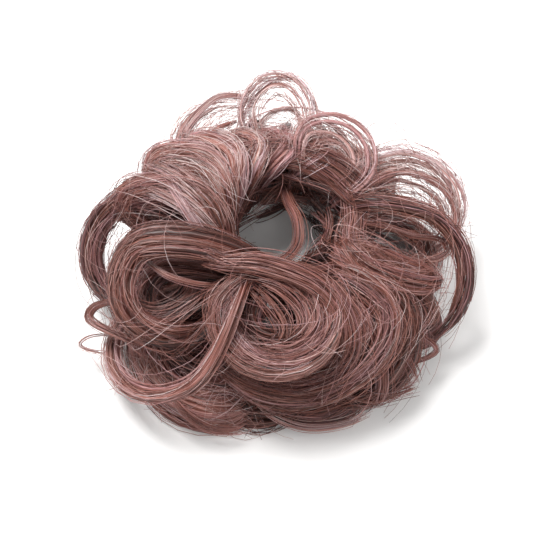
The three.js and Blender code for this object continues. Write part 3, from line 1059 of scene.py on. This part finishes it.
T, F = Tone, Fill
TUFTS = [
    Tuft("tuft_front", 262, 11, [
        Curl(277, None, 211, 0.60, 0.235, 0.215, -150, 290, 0.86, 0.60, 0.30, 1.2, 1.0, T.DUSK),
        Curl(258, None, 211, 0.59, 0.12, 0.12, -160, 250, 0.60, 0.36, 0.22, 1.0, 1.0, T.DEEP),
        Curl(260, None, 268, 0.48, 0.25, 0.26, -165, 295, 0.76, 0.62, 0.76, 1.1, 1.0),
        Curl(256, None, 268, 0.47, 0.12, 0.13, -175, 290, 0.62, 0.52, 0.58, 1.1, 0.9, T.DEEP, F.UNDER),
        Curl(266, None, 262, 0.58, 0.24, 0.20, 150, -280, 0.30, 0.07, 0.05, 1.5, 1.1, T.DEEP, F.UNDER),
    ], [
        Wisp(((-4, 29, 27), (0, 23, 35), (3, 10, 42), (7, -2, 47), (7, -15, 50), (1, -24, 52),
              (-10, -29, 53), (-24, -26, 54), (-38, -19, 53), (-51, -12, 50)), 44, 5.5),
        Wisp(((-36, -24, 50), (-24, -26, 53), (-12, -26, 53), (4, -30, 52), (17, -36, 50), (27, -48, 47),
              (30, -62, 41), (22, -75, 32)), 130, 11.0),
        Wisp(((33, -14, 36), (26, -22, 42), (16, -28, 46), (3, -30, 49), (-9, -29, 51)), 60, 7.0, T.DEEP),
        Wisp(((-69, -12, 38), (-61, -21, 43), (-53, -28, 45), (-44, -31, 44), (-34, -32, 42),
              (-24, -30, 40)), 22, 2.5),
        Wisp(((-73, -28, 40), (-69, -39, 36), (-59, -44, 34), (-48, -41, 34), (-40, -34, 36),
              (-38, -28, 38)), 70, 12.0, T.DEEP),
        Wisp(((-12, -32, 50), (0, -36, 49), (9, -44, 47), (11, -54, 46), (4, -62, 45)), 60, 10.0),
        Wisp(((4, -31, 49), (14, -38, 48), (18, -50, 46), (13, -61, 46), (2, -67, 46), (-10, -66, 46)),
              70, 8.0),
        Wisp(((-14, -36, 48), (-6, -44, 46), (0, -54, 44), (-2, -62, 43)), 40, 10.0, T.DEEP),
    ]),
    Tuft("tuft_back", 82, 12, [
        Curl(94, 72, 92, 0.49, 0.24, 0.155, 130, -265, 0.60, 0.70, 0.60, 0.7, 0.75, T.PALE, F.SHEER),
        Curl(84, None, 80, 0.36, 0.09, 0.09, -165, 290, 0.74, 0.60, 0.34, 1.3, 0.9, T.LIGHT),
        Curl(78, None, 84, 0.42, 0.17, 0.12, 140, -280, 0.30, 0.05, 0.05, 1.2, 1.0, T.DEEP, F.UNDER),
    ], [
        Wisp(((-18, 36, 44), (-16, 50, 46), (-6, 57, 46), (8, 59, 46), (26, 54, 46), (40, 43, 44),
              (48, 31, 42)), 6, 0.9, T.LIGHT),
        Wisp(((-20, 29, 42), (-20, 49, 44), (-13, 66, 45), (1, 76, 46), (11, 72, 46), (15, 59, 45),
              (14, 42, 42)), 22, 4.0, T.PALE),
        Wisp(((-17, 28, 42), (-14, 43, 43), (-6, 56, 44), (5, 59, 44), (10, 49, 43), (7, 34, 41)),
              26, 3.0, T.PALE),
    ], nest=6),
    Tuft("tuft_front_right", 298, 13, [
        Curl(300, None, 279, 0.52, 0.27, 0.37, 140, -215, 0.74, 0.46, 0.16, 1.6, 1.2),
        Curl(308, None, 300, 0.60, 0.25, 0.29, 140, -185, 0.70, 0.34, 0.16, 1.3, 1.1, T.DEEP),
        Curl(294, None, 276, 0.50, 0.21, 0.30, 125, -200, 0.64, 0.46, 0.26, 1.4, 1.0),
        Curl(292, None, 284, 0.57, 0.25, 0.24, 150, -280, 0.50, 0.06, 0.16, 1.5, 1.1, T.DEEP, F.UNDER),
    ], [
        Wisp(((20, -18, 46), (33, -27, 45), (44, -39, 39), (51, -51, 30), (57, -61, 21), (61, -70, 14)),
              90, 8.0),
        Wisp(((24, -31, 46), (34, -45, 43), (42, -60, 36), (45, -72, 24), (44, -78, 12)), 70, 7.0),
        Wisp(((44, -27, 34), (53, -38, 28), (63, -47, 22), (71, -53, 18), (67, -57, 16), (57, -60, 16),
              (46, -62, 16)), 30, 2.5),
        Wisp(((-30, -68, 34), (-18, -76, 32), (-6, -80, 30), (8, -81, 28), (22, -78, 26)), 60, 9.0, T.DEEP),
        Wisp(((29, -76, 18), (41, -76, 14), (53, -72, 12), (63, -68, 11)), 40, 4.0),
        Wisp(((-15, -76, 14), (-3, -84, 10), (11, -88, 7), (28, -86, 6), (42, -80, 8)), 30, 3.5, T.LIGHT),
    ]),
    Tuft("tuft_left", 190, 14, [
        Curl(184, None, 188, 0.63, 0.27, 0.25, -130, 205, 0.70, 0.42, 0.16, 1.0, 1.0, T.DEEP),
        Curl(190, None, 200, 0.53, 0.26, 0.16, -150, 280, 0.30, 0.05, 0.05, 1.3, 1.0, T.DEEP, F.UNDER),
        Curl(202, None, 170, 0.50, 0.26, 0.07, -160, 280, 0.80, 0.56, 0.22, 1.3, 1.0),
    ], [
        Wisp(((-9, -29, 50), (-22, -18, 44), (-28, -5, 42), (-32, 8, 44), (-28, 20, 48), (-17, 28, 50),
              (-3, 32, 50)), 80, 9.0),
        Wisp(((-74, -33, 27), (-82, -34, 26), (-87, -36, 25), (-89, -40, 24), (-85, -44, 24),
              (-75, -49, 24), (-62, -55, 26)), 60, 4.0),
    ], nest=8),
    Tuft("tuft_upper_left", 154, 15, [
        Curl(170, None, 154, 0.44, 0.22, 0.07, -160, 285, 0.82, 0.62, 0.20, 1.4, 1.0, T.LIGHT),
        Curl(157, None, 138, 0.39, 0.19, 0.07, -160, 285, 0.84, 0.64, 0.24, 1.3, 1.0, T.LIGHT),
        Curl(146, None, 118, 0.47, 0.26, 0.26, 110, -145, 0.56, 0.56, 0.50, 0.6, 0.75, T.LIGHT, F.OPEN),
        Curl(142, None, 115, 0.42, 0.20, 0.20, 110, -145, 0.64, 0.62, 0.54, 0.5, 0.75, T.LIGHT, F.OPEN),
        Curl(154, None, 158, 0.50, 0.22, 0.14, 150, -280, 0.30, 0.05, 0.05, 1.3, 1.0, T.DEEP, F.UNDER),
    ], [
        Wisp(((-33, 1, 40), (-35, 13, 45), (-32, 22, 49), (-21, 30, 51), (-6, 33, 51), (11, 32, 50),
              (26, 27, 48), (37, 17, 46), (48, 8, 44)), 130, 11.0, T.DEEP),
        Wisp(((-28, -10, 47), (-39, 0, 50), (-52, 10, 49), (-64, 18, 43), (-74, 23, 36)), 80, 10.0, T.LIGHT),
        Wisp(((-31, 2, 47), (-40, 12, 51), (-51, 22, 49), (-62, 31, 42)), 70, 9.0, T.LIGHT),
        Wisp(((-33, -16, 46), (-38, -8, 50), (-46, 5, 52), (-52, 17, 49), (-59, 31, 42)),
              60, 5.0, T.LIGHT, 0.0),
        Wisp(((-47, 34, 36), (-48, 43, 42), (-43, 52, 45), (-36, 60, 46), (-29, 65, 46), (-20, 66, 44),
              (-14, 63, 42)), 44, 4.0, T.LIGHT),
    ]),
    Tuft("tuft_back_right", 46, 16, [
        Curl(58, 34, 52, 0.36, 0.145, 0.15, 140, -280, 0.72, 0.72, 0.60, 1.1, 0.75, T.LIGHT, F.OPEN),
        Curl(40, None, 10, 0.56, 0.28, 0.23, 115, -160, 0.68, 0.60, 0.36, 0.8, 0.7, T.PALE, F.OPEN),
        Curl(46, None, 48, 0.50, 0.20, 0.14, 150, -280, 0.30, 0.05, 0.05, 1.3, 1.0, T.WARM, F.UNDER),
    ], [
        Wisp(((-27, 16, 44), (-20, 24, 48), (-6, 28, 50), (8, 27, 50), (22, 20, 47), (33, 10, 45),
              (42, 4, 43)), 120, 9.0, T.DEEP),
    ], nest=6),
    Tuft("tuft_lower_left", 226, 17, [
        Curl(214, 238, 226, 0.71, 0.30, 0.29, -145, 285, 0.30, 0.26, 1.10, 0.7, 0.8, T.WARM),
        Curl(226, None, 236, 0.62, 0.26, 0.31, -110, 215, 0.24, 0.08, 0.10, 1.8, 1.3, T.WARM),
        Curl(232, None, 232, 0.60, 0.12, 0.14, -150, 260, 0.30, 0.20, 0.12, 1.6, 1.2, T.DEEP, F.UNDER),
    ], [
        Wisp(((-72, -48, 20), (-82, -46, 17), (-90, -46, 14), (-94, -49, 12), (-88, -52, 12),
              (-76, -54, 14)), 12, 1.5, T.LIGHT),
        Wisp(((-52, -74, 14), (-43, -83, 10), (-31, -89, 8), (-17, -89, 8)), 36, 5.0),
    ]),
    Tuft("tuft_right", 334, 18, [
        Curl(345, None, 341, 0.50, 0.25, 0.10, -150, 180, 0.72, 0.58, 0.44, 0.9, 0.8),
        Curl(330, None, 328, 0.52, 0.26, 0.08, 150, -180, 0.72, 0.48, 0.36, 0.9, 0.8),
        Curl(337, None, 333, 0.56, 0.24, 0.13, -140, 280, 0.32, 0.05, 0.05, 1.2, 1.0, T.DEEP, F.UNDER),
    ], [
        Wisp(((22, 24, 48), (30, 15, 46), (33, 3, 43), (32, -9, 42), (37, -20, 42), (48, -29, 40)), 90, 8.0),
        Wisp(((33, -8, 40), (45, -13, 40), (57, -18, 38), (66, -21, 36), (71, -26, 34)), 45, 4.0),
        Wisp(((34, -18, 38), (46, -26, 36), (58, -31, 34), (66, -36, 30), (69, -30, 30)), 45, 4.0, T.DEEP),
    ], nest=6),
    Tuft("tuft_back_left", 118, 19, [
        Curl(132, None, 121, 0.35, 0.13, 0.08, -160, 285, 0.82, 0.62, 0.24, 1.2, 1.0, T.LIGHT),
        Curl(112, None, 104, 0.34, 0.11, 0.08, -160, 285, 0.80, 0.62, 0.34, 1.2, 0.9, T.LIGHT),
        Curl(118, None, 118, 0.48, 0.20, 0.14, 150, -280, 0.30, 0.05, 0.05, 1.2, 1.0, T.DEEP, F.UNDER),
    ], nest=6),
    Tuft("tuft_upper_right", 10, 20, [
        Curl(24, None, 338, 0.62, 0.27, 0.27, 150, -205, 0.78, 0.58, 0.16, 0.75, 0.9, T.DEEP),
        Curl(12, None, 6, 0.52, 0.27, 0.18, 130, -200, 0.70, 0.56, 0.36, 0.8, 0.75, T.LIGHT, F.OPEN),
        Curl(4, None, 2, 0.50, 0.22, 0.14, 150, -280, 0.30, 0.05, 0.05, 1.3, 1.0, T.WARM, F.UNDER),
    ], [
        Wisp(((31, 0, 42), (46, -2, 42), (60, -6, 40), (73, -7, 38), (76, -12, 36), (69, -15, 34),
              (57, -11, 32)), 30, 3.0),
    ], nest=4),
]


@dataclass
class Studio:
    """The pale floor, the soft lights and the camera."""

    sight: Span = (-5.6, -18.0)
    elevation: float = 65.0
    frame_width: float = 251.0
    lens: float = 100.0
    sensor: float = 36.0
    floor_size: float = 6.0
    floor_colour: str = "#f4f3f2"

    def build(self, band: Band) -> None:
        """Makes the floor, the lights, the sky and the camera.

        Args:
            band: where the elastic lies, which the camera is aimed by.
        """
        self._lay_floor()
        self._hang_lights()
        self._set_camera(band)

    def _lay_floor(self) -> None:
        """Lays a plain floor of matt white paper, which takes soft shadows and has no shine."""
        half = self.floor_size / 2
        mesh = bpy.data.meshes.new("floor")
        mesh.from_pydata([(-half, -half, 0), (half, -half, 0), (half, half, 0), (-half, half, 0)], [],
                         [(0, 1, 2, 3)])
        material = bpy.data.materials.new("matt_white_paper")
        material.use_nodes = True
        shader = material.node_tree.nodes["Principled BSDF"]
        shader.inputs["Base Color"].default_value = linear(self.floor_colour)
        shader.inputs["Roughness"].default_value = 0.9
        mesh.materials.append(material)
        floor = bpy.data.objects.new("floor", mesh)
        bpy.context.scene.collection.objects.link(floor)

    def _hang_lights(self) -> None:
        """Hangs a large soft key light, a weaker fill and an even white sky."""
        for name, place, size, power in (
                ("key", (-0.35, 0.45, 0.95), 0.6, 20.0), ("fill", (0.7, -0.5, 0.8), 0.9, 4.5)):
            lamp = bpy.data.lights.new(name, "AREA")
            lamp.size = size
            lamp.energy = power
            holder = bpy.data.objects.new(name, lamp)
            holder.location = place
            level = math.hypot(place[0], place[1])
            holder.rotation_euler = (math.atan2(level, place[2]), 0.0, math.atan2(place[0], -place[1]))
            bpy.context.scene.collection.objects.link(holder)
        world = bpy.data.worlds.new("sky")
        world.use_nodes = True
        sky = world.node_tree.nodes["Background"]
        sky.inputs["Color"].default_value = linear("#ffffff")
        sky.inputs["Strength"].default_value = 0.5
        bpy.context.scene.world = world

    def _set_camera(self, band: Band) -> None:
        """Sets the camera at the photograph's angle.

        Args:
            band: where the elastic lies.
        """
        lens = bpy.data.cameras.new("camera")
        lens.lens = self.lens
        lens.sensor_width = self.sensor
        lens.clip_start = 0.01
        distance = self.frame_width * MM * self.lens / self.sensor
        rise = math.radians(self.elevation)
        target = (band.axis + np.array([*self.sight, band.height])) * MM
        holder = bpy.data.objects.new("camera", lens)
        holder.location = target + distance * np.array([0.0, -math.cos(rise), math.sin(rise)])
        holder.rotation_euler = (math.pi / 2 - rise, 0.0, 0.0)
        bpy.context.scene.collection.objects.link(holder)
        bpy.context.scene.camera = holder
        bpy.context.scene.view_settings.view_transform = "Standard"


def main() -> None:
    """Builds the studio, the elastic's finish and every tuft, and reports each."""
    logging.basicConfig(level=logging.INFO, format="%(name)s: %(message)s")
    band = Band("elastic_band", BunSizes())
    Studio().build(band)
    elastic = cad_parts["elastic_band"]
    elastic.data.materials.clear()
    elastic.data.materials.append(BraidedElastic().material())
    LOG.info("elastic_band: %.0f mm across its centre line", 2 * band.radius)
    fibre = ModacrylicFibre().material()
    for tuft in TUFTS:
        triangles = tuft.build(band, fibre)
        LOG.info("%s: %d curls, %d wisps, %d triangles",
                 tuft.name, len(tuft.curls), len(tuft.wisps), triangles)
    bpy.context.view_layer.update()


if __name__ == "__main__":
    main()
